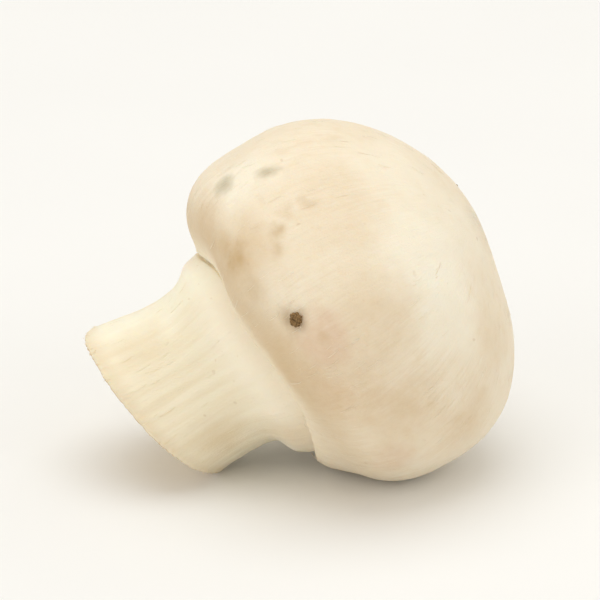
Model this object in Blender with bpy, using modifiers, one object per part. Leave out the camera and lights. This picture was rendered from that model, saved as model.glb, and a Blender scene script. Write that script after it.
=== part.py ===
"""One white button mushroom, picked and lying on its side.

The fruiting body grew as one piece: a domed cap, the closed veil under it, and a stem that was cut off short.
Its outline is turned about the mushroom's own axis, which runs up from the middle of the cut to the crown.
Formulas then make it uneven, as it grew, and it is laid on the side of its cap and the stem's low edge.
"""

import math

import bmesh
import bpy
from mathutils import Matrix, Vector

MM = 0.001

# Driving dimensions: heights run along the axis from the cut, and radii out from it
CAP_RADIUS = 19.8 * MM
WHOLE_HEIGHT = 38.8 * MM
WIDEST_HEIGHT = 22.9 * MM
MARGIN_HEIGHT = 11.6 * MM
MARGIN_RADIUS = 0.62 * CAP_RADIUS
STEM_RADIUS = 0.455 * CAP_RADIUS
BASE_FLARE = 0.5 * MM

# The cap's underside is a fuller curve than an ellipse, and this is the power of its formula
MARGIN_FULLNESS = 3.0
CUT_EDGE = 0.35 * MM
CREASE_DEPTH = 0.8 * MM

# Round the axis, 0 degrees is the side it lies on, 90 the far side, 180 the top and 270 the near side.
# How far the margin hangs lower on top, how far it is drawn up on the near side, how far and where it sags
# below that, how far the crease comes down on the side it lies on, and how far skin waves go in and out
MARGIN_HANG = 0.6 * MM
MARGIN_RISE = 1.75 * MM
MARGIN_SAG = 0.8 * MM
SAG_SIDE = math.radians(332.0)
CREASE_DROP = 1.2 * MM
SKIN_WAVES = 0.09 * MM

# How far a notch near the top draws the margin up, how far the veil bulges beside it, how much shallower
# the crease is where it is shallowest, and where each of them is
NOTCH_RISE = 1.3 * MM
NOTCH_SIDE = math.radians(204.0)
VEIL_BULGE = 1.1 * MM
VEIL_SIDE = math.radians(188.0)
CREASE_FILL = 0.32 * MM
CREASE_SIDE = math.radians(320.0)

# How far the cut end stands off the cap's axis, the cut's slant, and how far and where its edge runs out
STEM_OFFSET = 1.35 * MM
CUT_SLANT = Vector((0.185, 0.06))
KNIFE_LIP = 0.45 * MM
LIP_SIDE = math.radians(170.0)

# How finely the outline and its turn are divided
TURN_STEPS = 72
DOME_STEPS = 17
MARGIN_STEPS = 11
CURVE_STEPS = 3
CUT_STEPS = 4
EDGE_STEPS = 2

# How it lies: what each low place is pressed flat by
CAP_PRESS = 0.65 * MM
STEM_PRESS = 0.15 * MM

# Dents and swellings of the cap: degrees round the axis, height, depth inwards and reach
CAP_DENTS = [
    (243.0, 15.5 * MM, 1.1 * MM, 4.2 * MM),
    (200.0, 15.0 * MM, -0.5 * MM, 5.0 * MM),
    (292.0, 27.0 * MM, 0.45 * MM, 7.0 * MM),
    (80.0, 19.0 * MM, 0.7 * MM, 6.0 * MM),
    (130.0, 31.0 * MM, 0.5 * MM, 6.5 * MM),
    (350.0, 30.0 * MM, -1.0 * MM, 9.0 * MM),
    (300.0, 37.3 * MM, 0.75 * MM, 6.5 * MM),
    (25.0, 37.4 * MM, 0.7 * MM, 6.0 * MM),
    (155.0, 22.5 * MM, 0.5 * MM, 6.5 * MM),
]


def between(low, high, value):
    """0 below low, 1 above high, and a smooth rise from one to the other."""
    share = min(1.0, max(0.0, (value - low) / (high - low)))
    return share * share * (3.0 - 2.0 * share)


def smooth_through(points, steps):
    """A smooth curve through the points but the last, with that many steps from each to the next."""
    ends = [2 * points[0] - points[1]] + points + [2 * points[-1] - points[-2]]
    curve = []
    for a, b, c, d in zip(ends, ends[1:], ends[2:], ends[3:]):
        for step in range(steps):
            t = step / steps
            bend = (2 * a - 5 * b + 4 * c - d) * t**2 + (3 * b - a - 3 * c + d) * t**3
            curve.append(0.5 * (2 * b + (c - a) * t + bend))
    return curve


def dome_outline():
    """From the crown down to the cap's widest ring, a quarter of an ellipse."""
    rise = WHOLE_HEIGHT - WIDEST_HEIGHT
    outline = []
    for step in range(DOME_STEPS):
        angle = math.radians(90.0) * step / DOME_STEPS
        outline.append(Vector((CAP_RADIUS * math.sin(angle), WIDEST_HEIGHT + rise * math.cos(angle))))
    return outline


def margin_outline():
    """From the widest ring round the rolled margin, to where the veil meets it."""
    drop = WIDEST_HEIGHT - MARGIN_HEIGHT
    last = math.asin((1.08 * MARGIN_RADIUS / CAP_RADIUS) ** (MARGIN_FULLNESS / 2.0))
    outline = []
    for step in range(MARGIN_STEPS):
        angle = math.radians(90.0) + (last - math.radians(90.0)) * step / (MARGIN_STEPS - 1)
        out = math.sin(angle) ** (2.0 / MARGIN_FULLNESS)
        down = max(0.0, math.cos(angle)) ** (2.0 / MARGIN_FULLNESS)
        outline.append(Vector((CAP_RADIUS * out, WIDEST_HEIGHT - drop * down)))
    return outline


def veil_and_stem_outline(margin_end):
    """From the margin over the crease, along the flared veil and down the stem to the cut's edge."""
    crease_height = margin_end.y + CREASE_DEPTH
    points = [
        margin_end,
        Vector((MARGIN_RADIUS + 0.55 * MM, margin_end.y - 0.02 * MM)),
        Vector((MARGIN_RADIUS + 0.05 * MM, crease_height - 0.35 * MM)),
        Vector((MARGIN_RADIUS - 0.40 * MM, crease_height - 0.30 * MM)),
        Vector((MARGIN_RADIUS - 0.80 * MM, crease_height - 1.30 * MM)),
        Vector((STEM_RADIUS + 1.85 * MM, crease_height - 2.90 * MM)),
        Vector((STEM_RADIUS + 0.50 * MM, crease_height - 4.70 * MM)),
        Vector((STEM_RADIUS + 0.05 * MM, 6.2 * MM)),
        Vector((STEM_RADIUS + 0.25 * MM, 3.0 * MM)),
        Vector((STEM_RADIUS + BASE_FLARE, CUT_EDGE)),
    ]
    return smooth_through(points, CURVE_STEPS)[1:]


def cut_outline():
    """The knife's sharp edge, rounded a little, and the flat cut in to the axis."""
    centre = Vector((STEM_RADIUS + BASE_FLARE - CUT_EDGE, CUT_EDGE))
    outline = []
    for step in range(EDGE_STEPS + 1):
        angle = math.radians(90.0) * step / EDGE_STEPS
        outline.append(centre + CUT_EDGE * Vector((math.cos(angle), -math.sin(angle))))
    for step in range(1, CUT_STEPS + 1):
        outline.append(Vector((centre.x * (1.0 - step / CUT_STEPS), 0.0)))
    return outline


def turned_body():
    """The outline turned about the axis, as one closed mesh."""
    margin = margin_outline()
    outline = dome_outline() + margin + veil_and_stem_outline(margin[-1]) + cut_outline()
    mesh = bpy.data.meshes.new("outline")
    corners = [(point.x, 0.0, point.y) for point in outline]
    mesh.from_pydata(corners, [(i, i + 1) for i in range(len(corners) - 1)], [])
    guide = bpy.data.objects.new("outline", mesh)
    bpy.context.scene.collection.objects.link(guide)

    screw = guide.modifiers.new("turn", "SCREW")
    screw.axis = "Z"
    screw.steps = screw.render_steps = TURN_STEPS
    screw.use_merge_vertices = True
    screw.merge_threshold = 0.005 * MM
    bpy.context.view_layer.update()
    turned = bpy.data.meshes.new_from_object(guide.evaluated_get(bpy.context.evaluated_depsgraph_get()))
    bpy.data.objects.remove(guide)
    return turned


def cap_place(around, height):
    """The place on the cap at that angle round the axis and that height."""
    rise = max(0.0, height - WIDEST_HEIGHT) / (WHOLE_HEIGHT - WIDEST_HEIGHT)
    out = CAP_RADIUS * math.sqrt(1.0 - rise * rise)
    return Vector((out * math.cos(around), out * math.sin(around), height))


def grow_cap(point, around, height):
    """The cap isn't quite round, its margin and veil are uneven, and it has dents."""
    on_cap = between(MARGIN_HEIGHT, WIDEST_HEIGHT - 2.0 * MM, height)
    lobes = -0.012 * math.cos(2.0 * around - 0.3) + 0.005 * math.cos(3.0 * around + 1.2)
    point.xy *= 1.0 + on_cap * lobes

    below = 1.0 - between(WIDEST_HEIGHT - 6.0 * MM, WIDEST_HEIGHT + 2.0 * MM, height)
    hanging = below * between(MARGIN_RADIUS, MARGIN_RADIUS + 4.5 * MM, point.xy.length)
    drawn_up = below * between(8.5 * MM, 12.0 * MM, height)
    from_crease = (point.xy.length - MARGIN_RADIUS + 0.1 * MM) / (0.6 * MM)
    in_crease = below * math.exp(-(from_crease**2)) * between(12.0 * MM, 12.8 * MM, height)
    near_crease = drawn_up * (1.0 - between(13.5 * MM, 17.0 * MM, point.xy.length))
    at_notch = max(0.0, math.cos(around - NOTCH_SIDE)) ** 20
    on_veil = between(6.5 * MM, 10.5 * MM, height) * (1.0 - between(12.2 * MM, 13.2 * MM, height))
    on_veil *= 1.0 - between(12.0 * MM, 12.4 * MM, point.xy.length)
    at_bulge = max(0.0, math.cos(around - VEIL_SIDE)) ** 8
    point.z += MARGIN_HANG * hanging * math.cos(around)
    point.z += MARGIN_RISE * drawn_up * max(0.0, -math.sin(around)) ** 1.5
    point.z += NOTCH_RISE * drawn_up * at_notch
    point.z -= MARGIN_SAG * drawn_up * max(0.0, math.cos(around - SAG_SIDE)) ** 6
    point.z -= CREASE_DROP * near_crease * max(0.0, math.cos(around)) ** 1.5
    point.z -= CREASE_FILL * in_crease * (0.5 + 0.5 * math.cos(around - CREASE_SIDE))
    point.xy *= 1.0 + VEIL_BULGE * on_veil * at_bulge / MARGIN_RADIUS

    centre = Vector((0.0, 0.0, WIDEST_HEIGHT))
    push = Vector()
    for degrees, dent_height, depth, reach in CAP_DENTS:
        place = cap_place(math.radians(degrees), dent_height)
        near = math.exp(-((point - place).length_squared) / reach**2)
        push += (centre - place).normalized() * depth * near
    x, y, z = point / MM
    waves = math.sin(x / 3.4 + y / 5.2 + 0.6) + math.sin(y / 3.7 - z / 4.9 + 1.9)
    unevenness = SKIN_WAVES * waves * between(MARGIN_HEIGHT, WIDEST_HEIGHT, height)
    return point + push + (point - centre).normalized() * unevenness


def grow_stem(point, around, height):
    """The stem is ribbed lengthwise, stands a little off the cap's axis, and was cut off aslant."""
    down_stem = 1.0 - between(7.0 * MM, MARGIN_HEIGHT, height)
    side = between(0.6 * STEM_RADIUS, 0.95 * STEM_RADIUS, point.xy.length)
    ribs = 0.011 * math.cos(5.0 * around + 0.7) + 0.006 * math.cos(9.0 * around + 2.0)
    oval = 0.012 * math.cos(2.0 * around + 0.3)
    point.xy *= 1.0 + down_stem * (side * ribs + oval)

    point.z += (1.0 - between(0.0, 9.0 * MM, height)) * (CUT_SLANT.x * point.x + CUT_SLANT.y * point.y)
    lip = (1.0 - between(0.0, 4.0 * MM, height)) * max(0.0, math.cos(around - LIP_SIDE)) ** 8
    point.z -= KNIFE_LIP * side * lip
    point.x -= KNIFE_LIP * side * lip
    nearer_axis = 0.33 * between(0.0, 7.0 * MM, height) + 0.67 * between(8.0 * MM, 13.0 * MM, height)
    point.x -= STEM_OFFSET * (1.0 - nearer_axis)
    return point


def lowest(points, matrix):
    return min((matrix @ point).z for point in points)


def resting_turn(cap, stem):
    """The turn that lays the mushroom down until its cap and its stem both touch the surface."""
    lift = CAP_PRESS - STEM_PRESS
    low, high = math.radians(45.0), math.radians(75.0)
    for _ in range(40):
        middle = 0.5 * (low + high)
        turn = Matrix.Rotation(middle, 4, "Y")
        if lowest(stem, turn) > lowest(cap, turn) + lift:
            high = middle
        else:
            low = middle
    return Matrix.Rotation(0.5 * (low + high), 4, "Y")


def lay_down(mesh):
    """Presses the mesh's low places flat, and returns the matrix that lays it down over the origin."""
    points = [vertex.co for vertex in mesh.vertices]
    cap = [point for point in points if point.z > MARGIN_HEIGHT]
    stem = [point for point in points if point.z <= MARGIN_HEIGHT]
    turn = resting_turn(cap, stem)
    laid = [turn @ point for point in points]
    middle_x = 0.5 * (min(point.x for point in laid) + max(point.x for point in laid))
    middle_y = 0.5 * (min(point.y for point in laid) + max(point.y for point in laid))
    drop = min(point.z for point in laid) + CAP_PRESS
    place = Matrix.Translation((-middle_x, -middle_y, -drop)) @ turn
    back = place.inverted()
    for vertex in mesh.vertices:
        point = place @ vertex.co
        if point.z < 0.0:
            point.z = 0.0
            vertex.co = back @ point
    return place


def mushroom_material():
    material = bpy.data.materials.new("mushroom_flesh")
    material.use_nodes = True
    shader = material.node_tree.nodes["Principled BSDF"]
    shader.inputs["Base Color"].default_value = (0.86, 0.75, 0.58, 1.0)
    shader.inputs["Roughness"].default_value = 0.55
    shader.inputs["Metallic"].default_value = 0.0
    material.diffuse_color = (0.86, 0.75, 0.58, 1.0)
    return material


def build_mushroom(collection):
    mesh = turned_body()
    mesh.name = "mushroom"
    body = bmesh.new()
    body.from_mesh(mesh)
    bmesh.ops.remove_doubles(body, verts=body.verts, dist=0.005 * MM)
    for vertex in body.verts:
        around = math.atan2(vertex.co.y, vertex.co.x)
        height = vertex.co.z
        vertex.co = grow_stem(grow_cap(vertex.co.copy(), around, height), around, height)
    body.to_mesh(mesh)
    body.free()

    place = lay_down(mesh)
    mesh.shade_smooth()
    mesh.set_sharp_from_angle(angle=math.radians(45.0))
    mesh.materials.append(mushroom_material())
    mushroom = bpy.data.objects.new("mushroom", mesh)
    mushroom.location = place.to_translation()
    mushroom.rotation_euler = place.to_euler()
    collection.objects.link(mushroom)


def main():
    for thing in list(bpy.data.objects):
        bpy.data.objects.remove(thing)
    collection = bpy.data.collections.new("button_mushroom")
    bpy.context.scene.collection.children.link(collection)
    build_mushroom(collection)


main()
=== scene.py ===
import math

import bpy
import numpy as np
from mathutils import Matrix, Vector


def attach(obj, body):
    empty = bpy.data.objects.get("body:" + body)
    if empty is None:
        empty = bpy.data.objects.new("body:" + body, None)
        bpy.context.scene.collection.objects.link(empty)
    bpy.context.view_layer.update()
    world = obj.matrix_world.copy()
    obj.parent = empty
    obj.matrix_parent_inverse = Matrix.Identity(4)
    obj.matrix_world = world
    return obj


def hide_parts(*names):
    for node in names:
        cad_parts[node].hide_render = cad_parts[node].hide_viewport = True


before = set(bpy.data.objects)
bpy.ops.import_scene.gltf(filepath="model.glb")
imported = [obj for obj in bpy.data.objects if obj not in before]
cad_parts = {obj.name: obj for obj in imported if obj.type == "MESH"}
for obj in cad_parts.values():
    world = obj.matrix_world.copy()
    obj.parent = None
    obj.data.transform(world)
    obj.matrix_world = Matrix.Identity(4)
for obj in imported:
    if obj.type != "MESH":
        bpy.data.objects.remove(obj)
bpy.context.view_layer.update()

# The mushroom's form. Cap, closed veil and stem grew as one piece of firm white flesh under a thin skin. The
# outline is turned about the mushroom's own axis, then made uneven as it grew, and laid on its cap and stem.

MM = 0.001

# Driving dimensions: heights run along the axis from the cut, and radii out from it
CAP_RADIUS = 19.8 * MM
WHOLE_HEIGHT = 38.8 * MM
WIDEST_HEIGHT = 22.9 * MM
MARGIN_HEIGHT = 11.6 * MM
MARGIN_RADIUS = 0.62 * CAP_RADIUS
LIP_RADIUS = 1.08 * MARGIN_RADIUS
STEM_RADIUS = 0.455 * CAP_RADIUS
BASE_FLARE = 0.5 * MM
CUT_EDGE = 0.35 * MM
CREASE_DEPTH = 0.8 * MM

# The cap's underside is a fuller curve than an ellipse, and this is the power of its formula
MARGIN_FULLNESS = 3.0

# Where its unevenness is, in degrees round the axis: 0 is the side it lies on, 90 the far side, 180 the top
# and 270 the near side. The notch is drawn up at one angle, and its floor and wall are filled beside that.
LOW_SIDE = 0.0
LIP_SIDE = 170.0
VEIL_SIDE = 188.0
NOTCH_WALL_SIDE = 194.0
NOTCH_FLOOR_SIDE = 198.0
NOTCH_SIDE = 204.0
NEAR_SIDE = 270.0
CREASE_SIDE = 320.0
SAG_SIDE = 332.0

# Each dent or swelling of the cap: degrees round the axis, height, depth inwards and reach
CAP_DENTS = [
    (243.0, 15.5 * MM, 1.1 * MM, 4.2 * MM),
    (200.0, 15.0 * MM, -0.5 * MM, 5.0 * MM),
    (292.0, 27.0 * MM, 0.45 * MM, 7.0 * MM),
    (80.0, 19.0 * MM, 0.7 * MM, 6.0 * MM),
    (130.0, 31.0 * MM, 0.5 * MM, 6.5 * MM),
    (350.0, 30.0 * MM, -1.0 * MM, 9.0 * MM),
    (300.0, 37.3 * MM, 0.75 * MM, 6.5 * MM),
    (25.0, 37.4 * MM, 0.7 * MM, 6.0 * MM),
    (155.0, 22.5 * MM, 0.5 * MM, 6.5 * MM),
]

# How the mushroom's own axis is turned down from upright, and where the middle of the cut then is
LAID_TURN = math.radians(57.2686)
LAID_PLACE = (-14.4085 * MM, -0.0303 * MM, 5.8032 * MM)

# How many points draw each part of the outline, before the mesh's rings are spaced along it
DOME_POINTS = 400
MARGIN_POINTS = 1600
CURVE_STEPS = 80
EDGE_POINTS = 24
CUT_POINTS = 200

# How far apart the rings lie, how many corners each has, and how near the corners are that become one
RING_SPACING = 0.36 * MM
TURN_STEPS = 432
WELD_DISTANCE = 0.002 * MM


class Wiring:
    """A node tree being wired. node() adds any node, with its settings and its sockets' values or links."""

    def __init__(self, tree):
        self.tree = tree

    def node(self, kind, settings=None, sockets=None, output=0):
        made = self.tree.nodes.new(kind)
        for name, value in (settings or {}).items():
            setattr(made, name, value)
        for name, value in (sockets or {}).items():
            self.feed(made.inputs[name], value)
        return Value(self, made.outputs[output])

    def feed(self, socket, value):
        if isinstance(value, Value):
            self.tree.links.new(value.socket, socket)
        else:
            socket.default_value = value

    def maths(self, operation, *terms):
        return self.node("ShaderNodeMath", {"operation": operation}, dict(enumerate(terms)))

    def vector(self, operation, *terms, output=0):
        return self.node("ShaderNodeVectorMath", {"operation": operation}, dict(enumerate(terms)), output)

    def scaled(self, vector, factor):
        return self.node("ShaderNodeVectorMath", {"operation": "SCALE"}, {0: vector, "Scale": factor})

    def point(self, x, y, z):
        return self.node("ShaderNodeCombineXYZ", None, {0: x, 1: y, 2: z})

    def parts(self, vector):
        return [self.node("ShaderNodeSeparateXYZ", None, {0: vector}, i) for i in range(3)]

    def position(self):
        return self.node("GeometryNodeInputPosition")

    def millimetres(self):
        """The position in millimetres."""
        return self.scaled(self.position(), 1.0 / MM)

    def attribute(self, name, kind="FLOAT"):
        """What the mesh carries under that name at each of its corners."""
        return self.node("GeometryNodeInputNamedAttribute", {"data_type": kind}, {"Name": name})

    def between(self, low, high, value):
        """0 below low, 1 above high, and a smooth rise from one to the other."""
        sockets = {0: value, 1: low, 2: high, 3: 0.0, 4: 1.0}
        return self.node("ShaderNodeMapRange", {"interpolation_type": "SMOOTHSTEP"}, sockets)

    def ring(self, at, reach, value):
        """1 where the value is at, and fading to 0 over the reach on either side."""
        return 1.0 - self.between(0.0, reach, self.maths("ABSOLUTE", value - at))

    def noise(self, vector, size, detail=2.0, roughness=0.5, output=0):
        """Smooth noise from 0 to 1 whose lumps are about that size."""
        sockets = {"Vector": vector, "Scale": 1.0 / size, "Detail": detail, "Roughness": roughness}
        return self.node("ShaderNodeTexNoise", None, sockets, output)

    def lumps(self, vector, size, detail=2.0, roughness=0.5):
        """The same noise from -0.5 to 0.5."""
        return self.noise(vector, size, detail, roughness) - 0.5


class Value:
    """An output socket. Its operators add Math nodes, so that a formula is written as it reads."""

    def __init__(self, wiring, socket):
        self.wiring = wiring
        self.socket = socket

    def __add__(self, other):
        return self.wiring.maths("ADD", self, other)

    __radd__ = __add__

    def __sub__(self, other):
        return self.wiring.maths("SUBTRACT", self, other)

    def __rsub__(self, other):
        return self.wiring.maths("SUBTRACT", other, self)

    def __mul__(self, other):
        return self.wiring.maths("MULTIPLY", self, other)

    __rmul__ = __mul__

    def __truediv__(self, other):
        return self.wiring.maths("DIVIDE", self, other)

    def __pow__(self, other):
        return self.wiring.maths("POWER", self, other)

    def __neg__(self):
        return self.wiring.maths("MULTIPLY", self, -1.0)


def curve_through(points, steps):
    """A smooth curve through the points, with that many steps from each to the next."""
    points = np.array(points)
    ends = np.vstack([2 * points[0] - points[1], points, 2 * points[-1] - points[-2]])
    t = np.linspace(0.0, 1.0, steps, endpoint=False)[:, None]
    runs = []
    for a, b, c, d in zip(ends, ends[1:], ends[2:], ends[3:]):
        runs.append(
            0.5 * (2 * b + (c - a) * t + (2 * a - 5 * b + 4 * c - d) * t**2 + (3 * b - a - 3 * c + d) * t**3)
        )
    return np.vstack(runs + [points[-1:]])


def mushroom_outline():
    """The outline from the crown to the middle of the cut, as radii and heights.

    With it come each point's distance along it, and how far along it each of its parts ends.
    """
    angle = np.linspace(0.0, math.pi / 2.0, DOME_POINTS)
    dome_height = WHOLE_HEIGHT - WIDEST_HEIGHT
    dome = np.column_stack([CAP_RADIUS * np.sin(angle), WIDEST_HEIGHT + dome_height * np.cos(angle)])
    last = math.asin((LIP_RADIUS / CAP_RADIUS) ** (MARGIN_FULLNESS / 2.0))
    angle = np.linspace(math.pi / 2.0, last, MARGIN_POINTS)[1:]
    power = 2.0 / MARGIN_FULLNESS
    margin_radii = CAP_RADIUS * np.sin(angle) ** power
    margin_heights = WIDEST_HEIGHT - (WIDEST_HEIGHT - MARGIN_HEIGHT) * np.cos(angle) ** power
    margin = np.column_stack([margin_radii, margin_heights])
    lip = margin[-1]
    crease = lip[1] + CREASE_DEPTH
    crease_end = (MARGIN_RADIUS - 0.30 * MM, crease - 0.26 * MM)
    fold_points = [
        lip,
        (MARGIN_RADIUS + 0.55 * MM, lip[1] - 0.02 * MM),
        (MARGIN_RADIUS + 0.05 * MM, crease - 0.35 * MM),
        crease_end,
    ]
    stem_points = [
        crease_end,
        (MARGIN_RADIUS - 0.52 * MM, crease - 0.55 * MM),
        (MARGIN_RADIUS - 0.80 * MM, crease - 1.30 * MM),
        (STEM_RADIUS + 1.85 * MM, crease - 2.90 * MM),
        (STEM_RADIUS + 0.50 * MM, crease - 4.70 * MM),
        (STEM_RADIUS + 0.05 * MM, 6.2 * MM),
        (STEM_RADIUS + 0.25 * MM, 3.0 * MM),
        (STEM_RADIUS + BASE_FLARE, CUT_EDGE),
    ]
    fold = curve_through(fold_points, CURVE_STEPS)
    stem = curve_through(stem_points, CURVE_STEPS)
    angle = np.linspace(0.0, math.pi / 2.0, EDGE_POINTS)[1:]
    rim = np.column_stack([np.cos(angle) - 1.0, -np.sin(angle)]) * CUT_EDGE + stem[-1]
    cut = np.column_stack([np.linspace(rim[-1][0], 0.0, CUT_POINTS)[1:], np.zeros(CUT_POINTS - 1)])
    runs = [dome, margin, fold[1:], stem[1:], rim, cut]
    outline = np.vstack(runs)
    steps = np.hypot(*np.diff(outline, axis=0).T)
    along = np.concatenate([[0.0], np.cumsum(steps)])
    return outline, along, along[np.cumsum([len(run) for run in runs]) - 1]


outline, outline_along, part_ends = mushroom_outline()

# Where along it the crease, the stem and the knife's edge end, and where each part ends in millimetres
CREASE_AT, RIM_AT, CUT_AT = part_ends[2:5]
WIDEST_RUN, LIP_RUN, CREASE_RUN, RIM_RUN, CUT_RUN, END_RUN = part_ends / MM

# Rings of the mesh lie closer in the crease and at the knife's edge: where, over what reach, and how many
# more a metre has there
CLOSER_RINGS = [(CREASE_AT, 0.9 * MM, 7000.0), (RIM_AT, 0.4 * MM, 5500.0)]
closeness = 1.0 / RING_SPACING
for middle, reach, more in CLOSER_RINGS:
    closeness = closeness + more * np.exp(-(((outline_along - middle) / reach) ** 2))
rings_passed = np.cumsum(0.5 * (closeness[1:] + closeness[:-1]) * np.diff(outline_along))
counted = np.concatenate([[0.0], rings_passed])
ring_along = np.interp(np.linspace(0.0, counted[-1], int(counted[-1]) + 1), counted, outline_along)
ring_radius = np.interp(ring_along, outline_along, outline[:, 0])
ring_height = np.interp(ring_along, outline_along, outline[:, 1])

outline_corners = [(radius, 0.0, height) for radius, height in zip(ring_radius, ring_height)]
outline_edges = [(i, i + 1) for i in range(len(outline_corners) - 1)]
outline_mesh = bpy.data.meshes.new("mushroom_outline")
outline_mesh.from_pydata(outline_corners, outline_edges, [])
carried = outline_mesh.attributes.new("along", "FLOAT", "POINT")
carried.data.foreach_set("value", ring_along.astype(np.float32))
turned = bpy.data.objects.new("mushroom_outline", outline_mesh)
bpy.context.scene.collection.objects.link(turned)
turn = turned.modifiers.new("turned about the axis", "SCREW")
turn.axis = "Z"
turn.steps = TURN_STEPS
turn.render_steps = TURN_STEPS
turn.use_merge_vertices = True
turn.merge_threshold = WELD_DISTANCE


def new_tree(name, sizes):
    """A geometry tree with a geometry input and a named input for each size, and those inputs as values."""
    tree = bpy.data.node_groups.new(name, "GeometryNodeTree")
    tree.interface.new_socket("Geometry", in_out="INPUT", socket_type="NodeSocketGeometry")
    tree.interface.new_socket("Geometry", in_out="OUTPUT", socket_type="NodeSocketGeometry")
    for label, value in sizes.items():
        kind = "NodeSocketInt" if isinstance(value, int) else "NodeSocketFloat"
        tree.interface.new_socket(label, in_out="INPUT", socket_type=kind)
    wiring = Wiring(tree)
    way_in = tree.nodes.new("NodeGroupInput")
    return wiring, {socket.name: Value(wiring, socket) for socket in way_in.outputs if socket.name}


def end_tree(wiring, geometry):
    way_out = wiring.tree.nodes.new("NodeGroupOutput")
    wiring.feed(way_out.inputs[0], geometry)


def apply_tree(piece, wiring, sizes):
    """Runs the tree on the piece with those sizes, and returns what it makes as a plain mesh."""
    modifier = piece.modifiers.new(wiring.tree.name, "NODES")
    modifier.node_group = wiring.tree
    for item in wiring.tree.interface.items_tree:
        if item.in_out == "INPUT" and item.name in sizes:
            modifier[item.identifier] = sizes[item.name]
    bpy.context.view_layer.update()
    made = piece.evaluated_get(bpy.context.evaluated_depsgraph_get())
    mesh = bpy.data.meshes.new_from_object(made, depsgraph=bpy.context.evaluated_depsgraph_get())
    mesh.shade_smooth()
    return mesh


growth_sizes = {
    "Margin hang": 0.6 * MM,
    "Margin rise": 1.75 * MM,
    "Margin sag": 0.8 * MM,
    "Notch rise": 1.3 * MM,
    "Notch fill": 0.6 * MM,
    "Veil bulge": 1.1 * MM,
    "Crease drop": 1.2 * MM,
    "Crease fill": 0.32 * MM,
    "Skin waves": 0.09 * MM,
    "Stem offset": 1.35 * MM,
    "Knife lip": 0.45 * MM,
    "Cut slant x": 0.185,
    "Cut slant y": 0.06,
    "Relief": 1.0 * MM,
}
growth, size = new_tree("mushroom_growth", growth_sizes)
sockets = {"Geometry": size["Geometry"], "Distance": WELD_DISTANCE}
merged = growth.node("GeometryNodeMergeByDistance", None, sockets)
x, y, z = growth.parts(growth.position())
height = z
radius = (x * x + y * y) ** 0.5
around = growth.maths("ARCTAN2", y, x)
along = growth.attribute("along")


def cosine(value):
    return growth.maths("COSINE", value)


def on_side(degrees, sharpness):
    """1 on that side of the axis, and falling away to 0 round it."""
    return growth.maths("MAXIMUM", cosine(around - math.radians(degrees)), 0.0) ** sharpness


# The cap isn't quite round. Here and below, a pair of heights or radii is where a change fades in or out.
CAP_HEIGHTS = (MARGIN_HEIGHT, WIDEST_HEIGHT - 2.0 * MM)
on_cap = growth.between(*CAP_HEIGHTS, height)
lobes = cosine(2.0 * around - 0.3) * -0.012 + cosine(3.0 * around + 1.2) * 0.005
stretch = 1.0 + on_cap * lobes
x, y, radius = x * stretch, y * stretch, radius * stretch

# Its margin hangs lower on top, is drawn up on the near side and at the notch, and sags low on the near
# side. The crease comes down on the side it lies on, and is of uneven depth.
UNDERSIDE_HEIGHTS = (WIDEST_HEIGHT - 6.0 * MM, WIDEST_HEIGHT + 2.0 * MM)
HANGING_RADII = (MARGIN_RADIUS, MARGIN_RADIUS + 4.5 * MM)
DRAWN_UP_HEIGHTS = (8.5 * MM, 12.0 * MM)
NEAR_CREASE_RADII = (13.5 * MM, 17.0 * MM)
CREASE_RADIUS = MARGIN_RADIUS - 0.1 * MM
CREASE_REACH = 0.6 * MM
CREASE_HEIGHTS = (12.0 * MM, 12.8 * MM)
below = 1.0 - growth.between(*UNDERSIDE_HEIGHTS, height)
hanging = below * growth.between(*HANGING_RADII, radius)
drawn_up = below * growth.between(*DRAWN_UP_HEIGHTS, height)
near_crease = drawn_up * (1.0 - growth.between(*NEAR_CREASE_RADII, radius))
from_crease = growth.maths("ABSOLUTE", radius - CREASE_RADIUS) / CREASE_REACH
in_crease = below * growth.maths("EXPONENT", -(from_crease**2.0))
in_crease = in_crease * growth.between(*CREASE_HEIGHTS, height)
z = z + size["Margin hang"] * hanging * cosine(around)
z = z + size["Margin rise"] * drawn_up * on_side(NEAR_SIDE, 1.5)
z = z + size["Notch rise"] * drawn_up * on_side(NOTCH_SIDE, 20.0)
z = z - size["Margin sag"] * drawn_up * on_side(SAG_SIDE, 6.0)
z = z - size["Crease drop"] * near_crease * on_side(LOW_SIDE, 1.5)
z = z - size["Crease fill"] * in_crease * (0.5 + 0.5 * cosine(around - math.radians(CREASE_SIDE)))
z = z - size["Notch fill"] * in_crease * on_side(NOTCH_FLOOR_SIDE, 6.0)

# The veil bulges beside the notch
VEIL_LOW_HEIGHTS = (6.5 * MM, 10.5 * MM)
VEIL_HIGH_HEIGHTS = (12.2 * MM, 13.2 * MM)
VEIL_RADII = (12.0 * MM, 12.4 * MM)
on_veil = growth.between(*VEIL_LOW_HEIGHTS, height) * (1.0 - growth.between(*VEIL_HIGH_HEIGHTS, height))
on_veil = on_veil * (1.0 - growth.between(*VEIL_RADII, radius))
stretch = 1.0 + size["Veil bulge"] / MARGIN_RADIUS * on_veil * on_side(VEIL_SIDE, 8.0)
stretch = stretch + size["Notch fill"] / MARGIN_RADIUS * in_crease * on_side(NOTCH_WALL_SIDE, 6.0)
x, y = x * stretch, y * stretch

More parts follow.
